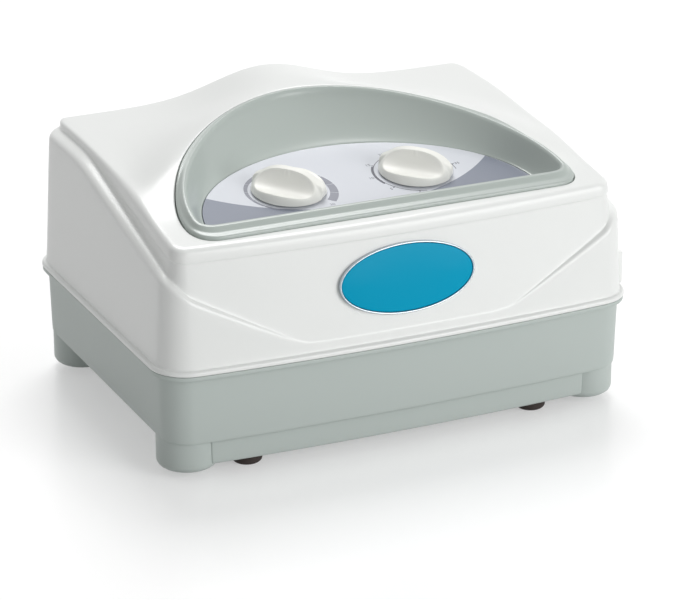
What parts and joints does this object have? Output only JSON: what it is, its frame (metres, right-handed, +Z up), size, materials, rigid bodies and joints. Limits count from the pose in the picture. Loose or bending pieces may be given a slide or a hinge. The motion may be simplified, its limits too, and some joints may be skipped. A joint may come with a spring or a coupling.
{
  "type": "compression therapy pump",
  "caption": "Desk unit that pumps air in turn into compression garments: white upper case, grey base tray, hooded recess with a timer knob and a pressure knob.",
  "frame": {"origin": "centre of the footprint on the surface that the feet stand on", "axes": "+X to the right seen from the front, +Y to the rear, +Z up"},
  "size_m": [0.236, 0.173, 0.1361],
  "materials": {
    "white_case": "glossy moulded, pure white",
    "grey_base": "satin moulded, cool grey",
    "grey_hood": "satin moulded, warm grey",
    "panel_plate": "printed plate",
    "knob_ivory": "glossy moulded",
    "badge_blue": "domed resin",
    "badge_silver": "bright",
    "foot_rubber": "moulded",
    "steel": "zinc plated",
    "plate_aluminium": "plain foil",
    "dark_plastic": "moulded",
    "brass": "turned",
    "white_nylon": "moulded",
    "filter_felt": "felt",
    "core_iron": "stacked sheet",
    "coil_copper": "wound wire",
    "pump_aluminium": "die cast",
    "board_green": "laminate",
    "clear_hose": "silicone"
  },
  "bodies": {
    "casing": {"base_tray": "grey_base", "upper_case": "white_case", "hood_bezel": "grey_hood", "control_panel": "panel_plate", "badge_rim": "badge_silver", "badge": "badge_blue", "foot_front_left": "foot_rubber", "foot_front_right": "foot_rubber", "foot_rear_left": "foot_rubber", "foot_rear_right": "foot_rubber", "foot_screws": "steel", "case_screws": "steel", "rating_plate": "plate_aluminium", "timer_body": "dark_plastic", "regulator_body": "brass", "shaft_nuts": "steel", "outlet_block": "white_case", "outlet_nipples": "white_nylon", "outlet_screws": "steel", "inlet_body": "dark_plastic", "inlet_pins": "brass", "fuse_holder": "dark_plastic", "rocker_body": "dark_plastic", "filter_cover": "grey_base", "air_filter": "filter_felt", "comp_bracket": "steel", "comp_isolators": "foot_rubber", "core_front": "core_iron", "core_rear": "core_iron", "coil_front": "coil_copper", "coil_rear": "coil_copper", "diaphragm_left": "foot_rubber", "diaphragm_right": "foot_rubber", "head_left": "pump_aluminium", "head_right": "pump_aluminium", "head_screws": "steel", "gear_motor": "steel", "dist_body": "white_nylon", "dist_cover": "white_nylon", "air_plenum": "white_nylon", "terminal_board": "board_green", "supply_hoses": "clear_hose", "feed_hose": "clear_hose", "regulator_hose": "clear_hose", "outlet_hoses": "clear_hose"},
    "timer_dial": {"timer_knob": "knob_ivory", "timer_shaft": "steel"},
    "pressure_dial": {"pressure_knob": "knob_ivory", "pressure_spindle": "steel"},
    "switch_rocker": {"rocker": "dark_plastic"},
    "pump_armature": {"armature": "pump_aluminium", "armature_magnets": "core_iron"},
    "distributor_rotor": {"dist_rotor": "white_nylon"}
  },
  "joints": [
    {"name": "timer_turn", "type": "hinge", "parent": "casing", "child": "timer_dial", "pos_m": [-0.032, -0.023, 0.10856], "axis": [0, -0.127, 0.9919], "range_deg": [-300, 0]},
    {"name": "pressure_turn", "type": "hinge", "parent": "casing", "child": "pressure_dial", "pos_m": [0.032, -0.023, 0.10856], "axis": [0, -0.127, 0.9919], "range_deg": [-270, 0]},
    {"name": "rocker_tip", "type": "hinge", "parent": "casing", "child": "switch_rocker", "pos_m": [0.022, 0.08322, 0.036], "axis": [0, 0, 1], "range_deg": [-16, 0]},
    {"name": "armature_slide", "type": "slide", "parent": "casing", "child": "pump_armature", "axis": [1, 0, 0], "range_m": [-0.0015, 0.0015], "stiffness_N_per_m": 9000, "deforming": ["diaphragm_left", "diaphragm_right"]},
    {"name": "distributor_spin", "type": "hinge", "parent": "casing", "child": "distributor_rotor", "pos_m": [0.062, 0.026, 0.045], "axis": [0, 0, 1], "continuous": true}
  ]
}
